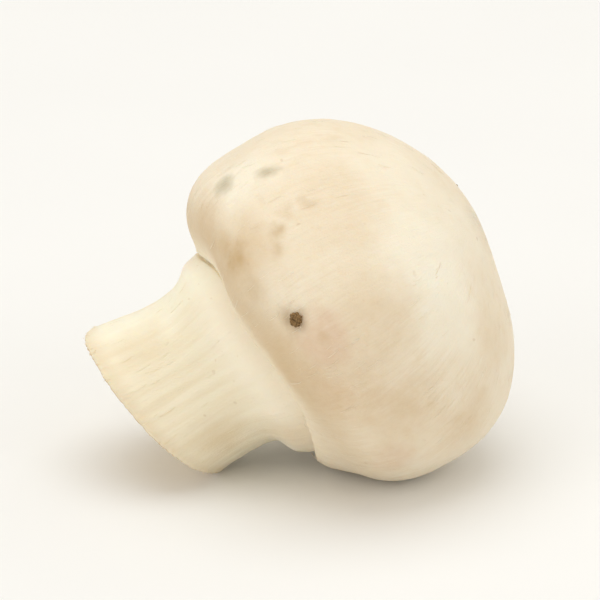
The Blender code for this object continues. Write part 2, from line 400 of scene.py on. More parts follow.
# Dents and swellings push the skin in or out, and slow waves run all over the cap
grown = growth.point(x, y, z)
cap_centre = Vector((0.0, 0.0, WIDEST_HEIGHT))
out_x, out_y, out_z = growth.parts(growth.vector("NORMALIZE", growth.vector("SUBTRACT", grown, cap_centre)))
waves = growth.maths("SINE", x / (3.4 * MM) + y / (5.2 * MM) + 0.6)
waves = waves + growth.maths("SINE", y / (3.7 * MM) - z / (4.9 * MM) + 1.9)
swell = size["Skin waves"] * waves * growth.between(MARGIN_HEIGHT, WIDEST_HEIGHT, height)
x, y, z = x + out_x * swell, y + out_y * swell, z + out_z * swell
for degrees, dent_height, depth, reach in CAP_DENTS:
    side = math.radians(degrees)
    rise = max(0.0, dent_height - WIDEST_HEIGHT) / (WHOLE_HEIGHT - WIDEST_HEIGHT)
    out = CAP_RADIUS * math.sqrt(1.0 - rise * rise)
    middle = Vector((out * math.cos(side), out * math.sin(side), dent_height))
    inwards = (cap_centre - middle).normalized() * depth
    near = growth.maths("EXPONENT", -((growth.vector("DISTANCE", grown, middle, output=1) / reach) ** 2.0))
    x, y, z = x + near * inwards.x, y + near * inwards.y, z + near * inwards.z

# The stem is ribbed lengthwise and stands a little off the axis. It was cut aslant, and the cut's top edge
# runs out.
STEM_TOP_HEIGHTS = (7.0 * MM, MARGIN_HEIGHT)
STEM_SIDE_RADII = (0.6 * STEM_RADIUS, 0.95 * STEM_RADIUS)
SLANTED_HEIGHTS = (0.0, 9.0 * MM)
RUN_OUT_HEIGHTS = (0.0, 4.0 * MM)
LOW_OFFSET_HEIGHTS = (0.0, 7.0 * MM)
HIGH_OFFSET_HEIGHTS = (8.0 * MM, 13.0 * MM)
down_stem = 1.0 - growth.between(*STEM_TOP_HEIGHTS, height)
side = growth.between(*STEM_SIDE_RADII, (x * x + y * y) ** 0.5)
ribs = cosine(5.0 * around + 0.7) * 0.011 + cosine(9.0 * around + 2.0) * 0.006
stretch = 1.0 + down_stem * (side * ribs + cosine(2.0 * around + 0.3) * 0.012)
x, y = x * stretch, y * stretch
slant = size["Cut slant x"] * x + size["Cut slant y"] * y
z = z + (1.0 - growth.between(*SLANTED_HEIGHTS, height)) * slant
by_cut = 1.0 - growth.between(*RUN_OUT_HEIGHTS, height)
running_out = size["Knife lip"] * by_cut * side * on_side(LIP_SIDE, 8.0)
x, z = x - running_out, z - running_out
nearer_low = 0.33 * growth.between(*LOW_OFFSET_HEIGHTS, height)
nearer_high = 0.67 * growth.between(*HIGH_OFFSET_HEIGHTS, height)
x = x - size["Stem offset"] * (1.0 - nearer_low - nearer_high)
sockets = {"Geometry": merged, "Position": growth.point(x, y, z)}
shaped = growth.node("GeometryNodeSetPosition", None, sockets)

# The grain's place on the skin is the cosine and sine of the angle round the axis, and millimetres along
# the outline
grain = growth.point(cosine(around), growth.maths("SINE", around), along / MM)
settings = {"data_type": "FLOAT_VECTOR", "domain": "POINT"}
sockets = {"Geometry": shaped, "Name": "grain", "Value": grain}
shaped = growth.node("GeometryNodeStoreNamedAttribute", settings, sockets)


def strand_noise(wiring, grain_parts, across, lengthways, detail=2.0):
    """Noise from 0 to 1 in strands: how wide one is at the cap's radius, and how long, in millimetres."""
    turned_x, turned_y, run = grain_parts
    about = CAP_RADIUS / MM / across
    return wiring.noise(wiring.point(turned_x * about, turned_y * about, run / lengthways), 1.0, detail)


# Fine relief along the normals, in millimetres: silky strands and lumps on the cap, folds at the margin and
# on the veil, fibres down the stem, and the knife's rough track over the cut
millimetres = growth.millimetres()
grain_parts = growth.parts(growth.attribute("grain", "FLOAT_VECTOR"))
run = grain_parts[2]


def strand_relief(across, lengthways, detail=2.0):
    """The same noise on the body, from -0.5 to 0.5."""
    return strand_noise(growth, grain_parts, across, lengthways, detail) - 0.5


cap_part = 1.0 - growth.between(LIP_RUN, CREASE_RUN, run)
cap_relief = 0.24 * growth.lumps(millimetres, 5.5) + 0.08 * growth.lumps(millimetres, 1.9, 3.0)
cap_relief = cap_relief - 0.09 * growth.between(0.66, 0.76, growth.noise(millimetres, 2.3, 1.0))
away_from_crown = growth.between(4.0, 16.0, run)
silky = growth.between(0.35, 0.65, growth.noise(millimetres, 8.0))
cap_relief = cap_relief + away_from_crown * silky * 0.06 * strand_relief(0.9, 7.0)

margin_part = growth.between(WIDEST_RUN - 1.0, LIP_RUN - 3.0, run) * cap_part
margin_relief = 0.18 * strand_relief(2.6, 5.0, 3.0)
lip_relief = growth.ring(LIP_RUN + 0.3, 1.1, run) * strand_relief(1.5, 6.0, 4.0)

veil_part = growth.between(CREASE_RUN, CREASE_RUN + 0.8, run)
veil_part = veil_part * (1.0 - growth.between(CREASE_RUN + 3.5, CREASE_RUN + 6.5, run))
veil_relief = 0.26 * strand_relief(2.6, 5.0, 3.0) + 0.14 * growth.lumps(millimetres, 0.9, 3.0)

stem_part = growth.between(CREASE_RUN + 2.0, CREASE_RUN + 5.0, run)
stem_part = stem_part * (1.0 - growth.between(RIM_RUN - 0.3, RIM_RUN + 0.1, run))
stem_relief = 0.14 * strand_relief(3.0, 11.0, 3.0) + 0.05 * strand_relief(0.9, 4.0)
stem_relief = stem_relief + 0.22 * growth.lumps(millimetres, 2.6, 3.0)
ragged_rim = growth.ring(RIM_RUN + 0.2, 0.9, run) * strand_relief(1.0, 3.0, 4.0)

cut_part = growth.between(CUT_RUN, CUT_RUN + 0.3, run)
from_middle = END_RUN - run
pith = 1.0 - growth.between(1.5, 4.2, from_middle + 1.5 * growth.lumps(millimetres, 1.6))
knife_track = growth.lumps(growth.vector("MULTIPLY", millimetres, (1.0, 0.1, 1.0)), 0.7)
cut_relief = 0.14 * knife_track + 0.16 * growth.lumps(millimetres, 2.2, 4.0, 0.6)
cut_relief = cut_relief - pith * (0.12 + 0.35 * growth.lumps(millimetres, 0.8, 3.0, 0.6))

relief = (
    cap_part * cap_relief
    + margin_part * margin_relief
    + 0.38 * lip_relief
    + veil_part * veil_relief
    + stem_part * stem_relief
    + 0.45 * ragged_rim
    + cut_part * cut_relief
)
offset = growth.scaled(growth.node("GeometryNodeInputNormal"), relief * size["Relief"])
carved = growth.node("GeometryNodeSetPosition", None, {"Geometry": shaped, "Offset": offset})

# The cap's skin is thin, matt and silky, off-white to cream, and tans or turns pinkish brown where it was
# handled. Its pale areas are partly painted light, mostly high on the cap, and its tanned areas partly
# painted shade, mostly on its lower side and left edge. Each mark on it is listed with its middle and its
# reach in mm, and how strong it is.

# How far light goes into the flesh, red light farthest, and how weakly the skins shine
FLESH_SCATTER = (1.0, 0.72, 0.45)
SCATTER_DEPTH = 1.6 * MM
WEAK_SHINE = 0.35


def new_material(name, roughness, subsurface=0.0):
    """A Principled material, with its wiring and its shader."""
    material = bpy.data.materials.new(name)
    material.use_nodes = True
    shader = material.node_tree.nodes["Principled BSDF"]
    shader.inputs["Roughness"].default_value = roughness
    shader.inputs["Specular IOR Level"].default_value = WEAK_SHINE
    shader.inputs["Subsurface Weight"].default_value = subsurface
    shader.inputs["Subsurface Radius"].default_value = FLESH_SCATTER
    shader.inputs["Subsurface Scale"].default_value = SCATTER_DEPTH
    return material, Wiring(material.node_tree), shader


def blend(wiring, share, under, over):
    """The under colour with that share of the over colour laid on it."""
    # A Mix node's colours are its inputs 6 and 7 and its output 2
    return wiring.node("ShaderNodeMix", {"data_type": "RGBA"}, {0: share, 6: under, 7: over}, 2)


def colour(red, green, blue):
    return (red, green, blue, 1.0)


def bumpy(wiring, shader, height, depth):
    """Feeds the shader a bump of that depth, from a height of 0 to 1."""
    sockets = {"Strength": 1.0, "Distance": depth, "Height": height}
    wiring.feed(shader.inputs["Normal"], wiring.node("ShaderNodeBump", None, sockets))


def object_place(wiring):
    return wiring.node("ShaderNodeTexCoord", None, None, "Object")


def skin_places(wiring):
    """The place on the object in millimetres, and the grain's place on the skin."""
    grain = wiring.node("ShaderNodeAttribute", {"attribute_name": "grain"}, None, "Vector")
    return wiring.scaled(object_place(wiring), 1.0 / MM), wiring.parts(grain)


def wandering(wiring, place, size, reach):
    """The place, shifted by noise, so that what is drawn round a point gets an uneven edge."""
    shift = wiring.vector("SUBTRACT", wiring.noise(place, size, 2.0, 0.5, "Color"), (0.5, 0.5, 0.5))
    return wiring.vector("ADD", place, wiring.scaled(shift, 2.0 * reach))


def stained(wiring, tone, marks, place, over, core=0.3, cover=1.0):
    """The tone with the over colour laid on it at each mark, full in its core and fading to its reach."""
    for middle, reach, strength in marks:
        distance = wiring.vector("DISTANCE", place, middle, output=1)
        share = strength * (1.0 - wiring.between(core * reach, reach, distance)) * cover
        tone = blend(wiring, share, tone, over)
    return tone


CAP_CREAM = colour(0.80, 0.69, 0.52)
CAP_WHITE = colour(0.90, 0.825, 0.675)
SILK_WHITE = colour(0.96, 0.91, 0.80)
SILK_TAN = colour(0.76, 0.62, 0.43)
MOTTLE_TAN = colour(0.74, 0.58, 0.37)
FIBRIL_TAN = colour(0.70, 0.56, 0.38)
FRECKLE_BROWN = colour(0.50, 0.33, 0.17)
# Tan of the rolled-in margin, partly real and partly painted shade where the margin curls under
ROLLED_IN_TAN_AND_SHADE = colour(0.60, 0.44, 0.25)
NEAR_VEIL_CREAM = colour(0.89, 0.79, 0.60)

# Paler skin, partly real and partly painted light where the cap's upper parts catch more light
PALE_AND_PAINTED_LIGHT = colour(0.95, 0.915, 0.79)
PALE_AND_LIT_AREAS = [
    ((-6.4, -5.2, 33.4), 5.5, 0.5),
    ((11.9, -13.1, 28.3), 8.0, 0.60),
    ((9.7, -5.3, 34.1), 8.0, 0.35),
    ((14.0, -14.5, 22.5), 7.0, 0.50),
    ((17.5, -6.0, 28.5), 6.0, 0.35),
    ((6.0, 14.0, 31.0), 9.0, 0.45),
]
# Tanned skin, partly real and partly painted shade on the cap's lower side, its left edge and where it meets
# the floor
TAN_AND_PAINTED_SHADE = colour(0.63, 0.45, 0.25)
TANNED_AND_SHADED_AREAS = [
    ((-2.6, -17.0, 18.5), 6.0, 0.55),
    ((1.5, -18.6, 14.5), 7.0, 0.42),
    ((5.6, -18.8, 22.5), 7.0, 0.34),
    ((4.5, -19.5, 15.3), 7.5, 0.38),
    ((9.5, -18.0, 12.4), 6.5, 0.47),
    ((6.5, -14.8, 6.5), 8.0, 0.25),
    ((3.5, -11.0, 33.0), 8.0, 0.22),
    ((16.0, -13.7, 9.7), 6.5, 0.50),
    ((19.6, -10.0, 17.0), 5.0, 0.25),
    ((-10.3, -5.8, 29.8), 4.5, 0.45),
    ((-6.5, -12.5, 28.5), 5.0, 0.55),
    ((-9.5, -9.0, 25.5), 5.0, 0.40),
    ((14.0, 14.0, 12.0), 8.0, 0.45),
    ((2.0, 18.5, 18.0), 6.5, 0.35),
    ((4.0, 4.0, 0.0), 10.0, 0.50),
    ((20.5, 4.0, 24.0), 6.0, 0.25),
    ((-6.0, 15.0, 26.0), 4.0, 0.30),
]
PINK = colour(0.62, 0.36, 0.22)
PINK_BLOTCHES = [
    ((0.9, -18.9, 21.3), 4.0, 0.40),
    ((1.6, -18.5, 15.5), 3.8, 0.12),
    ((8.3, -15.2, 6.1), 3.6, 0.22),
    ((-1.0, 18.0, 25.0), 3.4, 0.30),
]
OCHRE = colour(0.50, 0.32, 0.12)
OCHRE_BRUISES = [
    ((-7.8, -11.8, 27.6), 2.8, 0.74),
    ((-5.6, -14.4, 25.4), 2.4, 0.36),
    ((-8.9, -9.6, 28.6), 2.0, 0.35),
    ((-3.3, -12.9, 30.7), 1.5, 0.60),
    ((-3.2, -14.2, 29.2), 1.2, 0.36),
    ((1.3, -19.3, 21.3), 1.3, 0.30),
    ((0.1, -11.4, 33.2), 1.4, 0.28),
    ((-2.2, -11.6, 32.6), 1.5, 0.28),
    ((8.0, 17.5, 24.0), 1.8, 0.45),
    ((10.5, 16.2, 25.6), 1.4, 0.35),
    ((19.0, 6.0, 27.0), 1.5, 0.35),
    ((3.0, -2.0, 36.3), 1.1, 0.25),
]
GREY = colour(0.40, 0.355, 0.22)
GREY_SPECKS = [
    ((-7.8, -4.3, 32.4), 1.9, 0.64),
    ((-3.6, -6.4, 34.4), 1.8, 0.64),
]
PEAT_BROWN = colour(0.35, 0.21, 0.08)
PEAT_STAINS = [((-1.9, -17.5, 22.8), 2.2, 0.58)]

cap_skin, skin, shader = new_material("cap_skin", roughness=0.55, subsurface=0.30)
place, grain_parts = skin_places(skin)
turned_x, turned_y, run = grain_parts
soft_place = wandering(skin, place, size=5.0, reach=2.2)
spot_place = wandering(skin, place, size=1.9, reach=1.0)
patchy = skin.between(0.25, 0.75, skin.noise(place, 2.4, 4.0, 0.62))

# Silk, mottling and fibrils all over the cap
tone = blend(skin, skin.noise(place, 8.0, 3.0, 0.6), CAP_CREAM, CAP_WHITE)
silk = strand_noise(skin, grain_parts, 0.6, 6.0, 3.0)
silky = skin.between(2.0, 14.0, run) * skin.between(0.35, 0.65, skin.noise(place, 8.0))
tone = blend(skin, 0.30 * silky * skin.between(0.50, 0.80, silk), tone, SILK_WHITE)
tone = blend(skin, 0.22 * silky * skin.between(0.50, 0.25, silk), tone, SILK_TAN)
mottled = skin.between(0.45, 0.75, skin.noise(place, 1.7, 4.0, 0.65))
tone = blend(skin, 0.24 * mottled, tone, MOTTLE_TAN)
fibrils = skin.between(0.44, 0.70, strand_noise(skin, grain_parts, 0.30, 2.6, 3.0))
tone = blend(skin, 0.22 * silky * fibrils, tone, FIBRIL_TAN)

# The marks of handling and freckles, with painted light in the pale areas and painted shade in the tanned
# ones
tone = stained(skin, tone, PALE_AND_LIT_AREAS, soft_place, PALE_AND_PAINTED_LIGHT)
tone = stained(skin, tone, TANNED_AND_SHADED_AREAS, soft_place, TAN_AND_PAINTED_SHADE, core=0.1, cover=0.60 + 0.40 * patchy)
tone = stained(skin, tone, PINK_BLOTCHES, soft_place, PINK, cover=0.6 + 0.4 * patchy)
tone = stained(skin, tone, OCHRE_BRUISES, spot_place, OCHRE, core=0.05, cover=0.55 + 0.45 * patchy)
tone = stained(skin, tone, GREY_SPECKS, spot_place, GREY, core=0.0)
freckles = skin.between(0.72, 0.80, skin.noise(place, 1.0, 1.0))
freckles = freckles * skin.between(0.4, 0.65, skin.noise(place, 7.0))
tone = blend(skin, 0.30 * freckles, tone, FRECKLE_BROWN)

# The rolled-in margin is tanned, with painted shade where it curls under, mostly above the near side. Peat
# stained it in one place, and it pales again where it joins the veil.
tanned_and_shaded_side = 0.28 + 0.72 * skin.between(-0.1, 0.9, -0.71 * turned_x - 0.71 * turned_y)
uneven_run = run + 1.6 * (strand_noise(skin, grain_parts, 3.0, 6.0) - 0.5)
rolled_in_tan_and_shade = skin.ring(LIP_RUN - 3.6, 5.2, uneven_run)
tone = blend(skin, 0.60 * rolled_in_tan_and_shade * tanned_and_shaded_side, tone, ROLLED_IN_TAN_AND_SHADE)
tone = stained(skin, tone, PEAT_STAINS, spot_place, PEAT_BROWN, core=0.1)
into_veil = skin.between(LIP_RUN - 2.4, CREASE_RUN + 0.2, run)
tone = blend(skin, 0.80 * into_veil, tone, NEAR_VEIL_CREAM)
skin.feed(shader.inputs["Base Color"], tone)
skin.feed(shader.inputs["Roughness"], 0.50 + 0.22 * patchy)
fine = 0.55 * strand_noise(skin, grain_parts, 0.28, 2.2, 3.0) + 0.45 * skin.noise(place, 0.22, 3.0, 0.6)
bumpy(skin, shader, fine, depth=0.085 * MM)

# The veil and the stem share a paler, yellower skin of lengthwise fibres. It is whitest on the veil, stained
# where the stem was held, and browned along the knife's edge. Its upper side near the tip carries a painted
# highlight, and the veil carries painted shade beside the crease.

STEM_CREAM = colour(0.84, 0.75, 0.56)
STEM_WHITE = colour(0.895, 0.83, 0.66)
VEIL_WHITE = colour(0.965, 0.89, 0.74)
KNIFE_EDGE_BROWN = colour(0.50, 0.33, 0.15)
FLECK_BROWN = colour(0.52, 0.36, 0.18)
# Painted shade in the crease where the veil meets the cap
CREASE_PAINTED_SHADE = colour(0.62, 0.47, 0.28)

# A painted highlight on the stem's upper side near its tip
STEM_PAINTED_HIGHLIGHT = colour(0.98, 0.95, 0.79)
STEM_HIGHLIGHT_AREAS = [
    ((-15.5, -1.0, 18.5), 6.5, 0.60),
    ((-19.0, 0.5, 15.5), 4.5, 0.60),
    ((-10.2, -3.6, 22.5), 4.0, 0.60),
]
STEM_TAN = colour(0.60, 0.42, 0.20)
STEM_STAINS = [
    ((-8.4, -8.0, 6.0), 4.5, 0.32),
    ((-16.4, -4.0, 15.7), 4.0, 0.22),
    ((-12.0, 7.0, 8.0), 5.0, 0.35),
    ((-2.0, -9.5, 6.0), 4.5, 0.35),
]

stem_skin, skin, shader = new_material("stem_skin", roughness=0.62, subsurface=0.30)
place, grain_parts = skin_places(skin)
run = grain_parts[2]
soft_place = wandering(skin, place, size=4.0, reach=1.6)
fibres = strand_noise(skin, grain_parts, 1.9, 9.0)
tone = blend(skin, skin.between(0.2, 0.8, fibres), STEM_CREAM, STEM_WHITE)
on_veil = 1.0 - skin.between(CREASE_RUN + 2.0, CREASE_RUN + 6.0, run)
tone = blend(skin, 0.85 * on_veil, tone, VEIL_WHITE)
# Painted highlight on the stem's upper side
tone = stained(skin, tone, STEM_HIGHLIGHT_AREAS, soft_place, STEM_PAINTED_HIGHLIGHT)
tone = stained(skin, tone, STEM_STAINS, soft_place, STEM_TAN, core=0.1)
lower_edge = skin.between(RIM_RUN - 1.6, RIM_RUN, run)
tone = blend(skin, 0.35 * lower_edge * fibres, tone, KNIFE_EDGE_BROWN)
flecks = skin.between(0.70, 0.78, skin.noise(place, 0.9, 1.0))
flecks = flecks * skin.between(0.4, 0.65, skin.noise(place, 6.0))
tone = blend(skin, 0.28 * flecks, tone, FLECK_BROWN)
# Painted shade on the veil beside the crease
crease_shade_share = 1.0 - skin.between(CREASE_RUN + 0.5, CREASE_RUN + 3.6, run)
tone = blend(skin, 0.24 * crease_shade_share, tone, CREASE_PAINTED_SHADE)
skin.feed(shader.inputs["Base Color"], tone)
fine = 0.6 * strand_noise(skin, grain_parts, 0.35, 2.6, 4.0) + 0.4 * skin.noise(place, 0.26, 3.0, 0.6)
bumpy(skin, shader, fine, depth=0.08 * MM)

# The cut shows the bare flesh. A knife went through the stem when the mushroom was picked and left it
# slightly rough: pale, with a browned rim and a looser, darker middle.

FLESH_TAN = colour(0.70, 0.54, 0.33)
FLESH_CREAM = colour(0.86, 0.75, 0.54)
FLESH_RIM_BROWN = colour(0.46, 0.29, 0.13)
PITH_TAN = colour(0.60, 0.43, 0.23)
PORE_BROWN = colour(0.45, 0.29, 0.14)

cut_flesh, flesh, shader = new_material("cut_flesh", roughness=0.60, subsurface=0.30)
place, grain_parts = skin_places(flesh)
from_middle = END_RUN - grain_parts[2]
tone = blend(flesh, flesh.noise(place, 1.8, 4.0, 0.6), FLESH_TAN, FLESH_CREAM)
tone = blend(flesh, 0.55 * flesh.between(7.6, 9.2, from_middle), tone, FLESH_RIM_BROWN)
tone = blend(flesh, 0.30 * (1.0 - flesh.between(1.0, 4.0, from_middle)), tone, PITH_TAN)
pores = flesh.between(0.62, 0.70, flesh.noise(place, 0.4, 1.0))
tone = blend(flesh, 0.35 * pores, tone, PORE_BROWN)
flesh.feed(shader.inputs["Base Color"], tone)
knife_track = flesh.noise(flesh.vector("MULTIPLY", place, (1.0, 0.15, 1.0)), 0.35, 3.0)
bumpy(flesh, shader, 0.6 * knife_track + 0.4 * flesh.noise(place, 0.25, 3.0), depth=0.09 * MM)

# Each zone of the body gets its own skin
whole = growth.node("GeometryNodeRealizeInstances", None, {"Geometry": carved})
whole = growth.node("GeometryNodeSetMaterial", None, {"Geometry": whole, "Material": cap_skin})
for starts_at, material in [(CREASE_AT, stem_skin), (0.5 * (RIM_AT + CUT_AT), cut_flesh)]:
    chosen = growth.node("FunctionNodeCompare", {"operation": "GREATER_THAN"}, {0: along, 1: starts_at})
    sockets = {"Geometry": whole, "Selection": chosen, "Material": material}
    whole = growth.node("GeometryNodeSetMaterial", None, sockets)
end_tree(growth, whole)

# The body is laid down, and is flat where it would go below the surface
body_mesh = apply_tree(turned, growth, growth_sizes)
body_mesh.transform(Matrix.Translation(LAID_PLACE) @ Matrix.Rotation(LAID_TURN, 4, "Y"))
corners = np.empty(3 * len(body_mesh.vertices), np.float32)
body_mesh.vertices.foreach_get("co", corners)
corners[2::3] = np.maximum(corners[2::3], 0.0)
body_mesh.vertices.foreach_set("co", corners)
body_mesh.update()
body = bpy.data.objects.new("mushroom_body", body_mesh)
bpy.context.scene.collection.objects.link(body)
bpy.data.objects.remove(turned)
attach(body, "root")
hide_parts("mushroom")

# Fine hairs of the skin lie flat on the cap and run down it from the crown to the margin. They are strands
# that dried loose as the cap swelled, and most are no paler or darker than the skin under them.

AXIS = Vector((math.sin(LAID_TURN), 0.0, math.cos(LAID_TURN)))
AXIS_FOOT = Vector(LAID_PLACE)
HAIR_STEPS = 5
HAIR_SIDES = 5


def outlet(value, name):
    """Another output of the node that the value comes from."""
    return Value(value.wiring, value.socket.node.outputs[name])


def chance(wiring, low, high, seed):
    """A random number from low to high, another for each point."""
    sockets = {2: low, 3: high, "Seed": seed}
    return wiring.node("FunctionNodeRandomValue", {"data_type": "FLOAT"}, sockets, 1)


def turned_by(wiring, facing, angles):
    """The facing, turned about its own axes by those angles."""
    turn = wiring.node("FunctionNodeEulerToRotation", None, {0: wiring.point(*angles)})
    return wiring.node("FunctionNodeRotateRotation", {"rotation_space": "LOCAL"}, {0: facing, 1: turn})


def hair_shape(wiring, rise, bow):
    """A tapered hair along +X, one unit long, that rises and bows at its middle and ends at the skin."""
    ends = {"Start": (0.0, 0.0, 0.0), "Middle": (0.5, bow, rise), "End": (1.0, 0.0, 0.0)}
    path = wiring.node("GeometryNodeCurveQuadraticBezier", None, {**ends, "Resolution": HAIR_STEPS})
    share = wiring.node("GeometryNodeSplineParameter")
    taper = 0.15 + 3.4 * share * (1.0 - share)
    return wiring.node("GeometryNodeSetCurveRadius", None, {"Curve": path, "Radius": taper})


def strew_hairs(name, sizes, density, material, rise, bow=0.10, lean=0.0):
    """A piece of hairs strewn over the body's skin, thickest where the density says."""
    wiring, size = new_tree(name, sizes)
    grain_parts = wiring.parts(wiring.attribute("grain", "FLOAT_VECTOR"))
    above_floor = wiring.between(0.5 * MM, 1.0 * MM, wiring.parts(wiring.position())[2])
    wanted = size["Hairs per square mm"] / MM**2 * above_floor * density(wiring, grain_parts)
    sockets = {"Mesh": size["Geometry"], "Density": wanted, "Seed": size["Seed"]}
    points = wiring.node("GeometryNodeDistributePointsOnFaces", {"distribute_method": "RANDOM"}, sockets)

    normal = outlet(points, "Normal")
    from_axis = wiring.vector("SUBTRACT", wiring.position(), tuple(AXIS_FOOT))
    sideways = wiring.vector("CROSS_PRODUCT", tuple(AXIS), from_axis)
    down_skin = wiring.vector("CROSS_PRODUCT", sideways, normal)
    sockets = {"Primary Axis": normal, "Secondary Axis": down_skin}
    facing = wiring.node("FunctionNodeAxesToRotation", {"primary_axis": "Z", "secondary_axis": "X"}, sockets)
    stray = chance(wiring, -1.0, 1.0, 3) * chance(wiring, 0.0, 1.0, 4) * size["Stray"]
    facing = turned_by(wiring, facing, (chance(wiring, -0.4, 0.4, 5), lean, stray))

    sockets = {"Resolution": HAIR_SIDES, "Radius": size["Thickness"]}
    section = wiring.node("GeometryNodeCurvePrimitiveCircle", None, sockets)
    sockets = {"Curve": hair_shape(wiring, rise, bow), "Profile Curve": section, "Fill Caps": True}
    hair = wiring.node("GeometryNodeCurveToMesh", None, sockets)
    length = size["Length"] * chance(wiring, 0.45, 1.0, 6)
    scale = wiring.point(length, length, length * size["Flatness"])
    sockets = {"Points": points, "Instance": hair, "Rotation": facing, "Scale": scale}
    hairs = wiring.node("GeometryNodeInstanceOnPoints", None, sockets)
    hairs = wiring.node("GeometryNodeRealizeInstances", None, {"Geometry": hairs})
    end_tree(wiring, wiring.node("GeometryNodeSetMaterial", None, {"Geometry": hairs, "Material": material}))

    carrier = bpy.data.objects.new(name + "_carrier", body_mesh)
    bpy.context.scene.collection.objects.link(carrier)
    hair_mesh = apply_tree(carrier, wiring, sizes)
    bpy.data.objects.remove(carrier)
    piece = bpy.data.objects.new(name, hair_mesh)
    bpy.context.scene.collection.objects.link(piece)
    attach(piece, "root")


def hair_material(name, pale, tan):
    """Translucent strands of flesh, some pale and some tanned."""
    material, wiring, shader = new_material(name, roughness=0.55, subsurface=0.25)
    tanned = wiring.between(0.42, 0.66, wiring.noise(object_place(wiring), 2.2 * MM))
    wiring.feed(shader.inputs["Base Color"], blend(wiring, tanned, pale, tan))
    return material


def on_cap(wiring, grain_parts):
    run = grain_parts[2]
    upper = wiring.between(2.0, 8.0, run) * (1.0 - wiring.between(LIP_RUN - 3.0, LIP_RUN - 1.0, run))
    return upper * (0.15 + wiring.between(0.45, 0.65, wiring.noise(wiring.millimetres(), 6.0)))


cap_hair_sizes = {
    "Hairs per square mm": 0.24,
    "Length": 1.9 * MM,
    "Thickness": 0.014,
    "Flatness": 0.35,
    "Stray": 0.35,
    "Seed": 11,
}
cap_hair = hair_material("cap_hair", colour(0.92, 0.85, 0.70), colour(0.82, 0.70, 0.50))
strew_hairs("cap_hairs", cap_hair_sizes, on_cap, cap_hair, rise=0.012)

# Where the veil joins the margin, cottony threads of it bridge the crease. They tore loose as the cap grew
# away from the stem, and curl.


def at_crease(wiring, grain_parts):
    clumps = wiring.between(0.42, 0.62, wiring.noise(wiring.millimetres(), 1.8))
    return wiring.ring(LIP_RUN + 0.9, 0.8, grain_parts[2]) * clumps


veil_thread_sizes = {
    "Hairs per square mm": 9.0,
    "Length": 1.1 * MM,
    "Thickness": 0.028,
    "Flatness": 1.0,
    "Stray": 1.1,
    "Seed": 5,
}
veil_thread = hair_material("veil_thread", colour(0.94, 0.89, 0.78), colour(0.80, 0.66, 0.45))
strew_hairs("veil_threads", veil_thread_sizes, at_crease, veil_thread, rise=0.22, bow=0.16, lean=-0.08)

# The stem's skin is of long fibres. Some have come away along it, and the knife left frayed ends at its
# lower edge.


def on_stem(wiring, grain_parts):
    run = grain_parts[2]
    below_veil = wiring.between(CREASE_RUN + 3.0, CREASE_RUN + 5.0, run)
    return below_veil * (1.0 - wiring.between(RIM_RUN - 1.2, RIM_RUN - 0.2, run))


def at_rim(wiring, grain_parts):
    return wiring.ring(RIM_RUN - 0.1, 0.5, grain_parts[2])


stem_hair_sizes = {
    "Hairs per square mm": 0.16,
    "Length": 2.4 * MM,
    "Thickness": 0.012,
    "Flatness": 0.7,
    "Stray": 0.22,
    "Seed": 23,
}
frayed_end_sizes = {
    "Hairs per square mm": 2.5,
    "Length": 0.42 * MM,
    "Thickness": 0.05,
    "Flatness": 1.0,
    "Stray": 0.9,
    "Seed": 31,
}
stem_hair = hair_material("stem_hair", colour(0.93, 0.86, 0.68), colour(0.85, 0.73, 0.50))
frayed_end = hair_material("frayed_end", colour(0.88, 0.78, 0.58), colour(0.66, 0.49, 0.27))
strew_hairs("stem_hairs", stem_hair_sizes, on_stem, stem_hair, rise=0.03)
strew_hairs("frayed_ends", frayed_end_sizes, at_rim, frayed_end, rise=0.10, bow=0.15, lean=-0.25)

# Crumbs of the dark peat that the mushroom grew in cling to it: a big one on the near side of the cap, and
# small ones elsewhere. Each is listed with about where it is and its width, and sits on the nearest skin.

CRUMBS = [
    ((-1.5, -17.8, 23.0), 1.50),
    ((-9.0, 9.5, 20.0), 0.45),
    ((-6.0, 11.0, 15.0), 0.36),
    ((-2.0, 10.5, 9.5), 0.40),
    ((6.0, 17.0, 27.0), 0.50),
    ((17.0, 6.0, 28.0), 0.34),
    ((-18.5, 3.0, 12.0), 0.40),
]
DARK_PEAT = colour(0.105, 0.060, 0.022)
DRY_PEAT = colour(0.32, 0.19, 0.075)

on_skin = [body.closest_point_on_mesh(Vector(place) * MM)[1] for place, _ in CRUMBS]
crumb_places = bpy.data.meshes.new("crumb_places")
crumb_places.from_pydata(on_skin, [], [])
widths = crumb_places.attributes.new("width", "FLOAT", "POINT")
widths.data.foreach_set("value", [width * MM for _, width in CRUMBS])
crumb_carrier = bpy.data.objects.new("crumb_carrier", crumb_places)
bpy.context.scene.collection.objects.link(crumb_carrier)

crumb_sizes = {"Roughness": 0.42}
crumbs, size = new_tree("peat_crumbs", crumb_sizes)
width = crumbs.attribute("width")
tumble = crumbs.point(chance(crumbs, 0.0, 6.0, 1), chance(crumbs, 0.0, 6.0, 2), chance(crumbs, 0.0, 6.0, 3))
sockets = {
    "Points": size["Geometry"],
    "Instance": crumbs.node("GeometryNodeMeshIcoSphere", None, {"Radius": 0.5, "Subdivisions": 4}),
    "Rotation": crumbs.node("FunctionNodeEulerToRotation", None, {0: tumble}),
    "Scale": crumbs.point(width, width * 0.92, width * 0.82),
}
strewn = crumbs.node("GeometryNodeInstanceOnPoints", None, sockets)
strewn = crumbs.node("GeometryNodeRealizeInstances", None, {"Geometry": strewn})
bulge = crumbs.lumps(crumbs.millimetres(), 0.42, 3.0, 0.65)
offset = crumbs.scaled(crumbs.node("GeometryNodeInputNormal"), bulge * width * 2.0 * size["Roughness"])
strewn = crumbs.node("GeometryNodeSetPosition", None, {"Geometry": strewn, "Offset": offset})

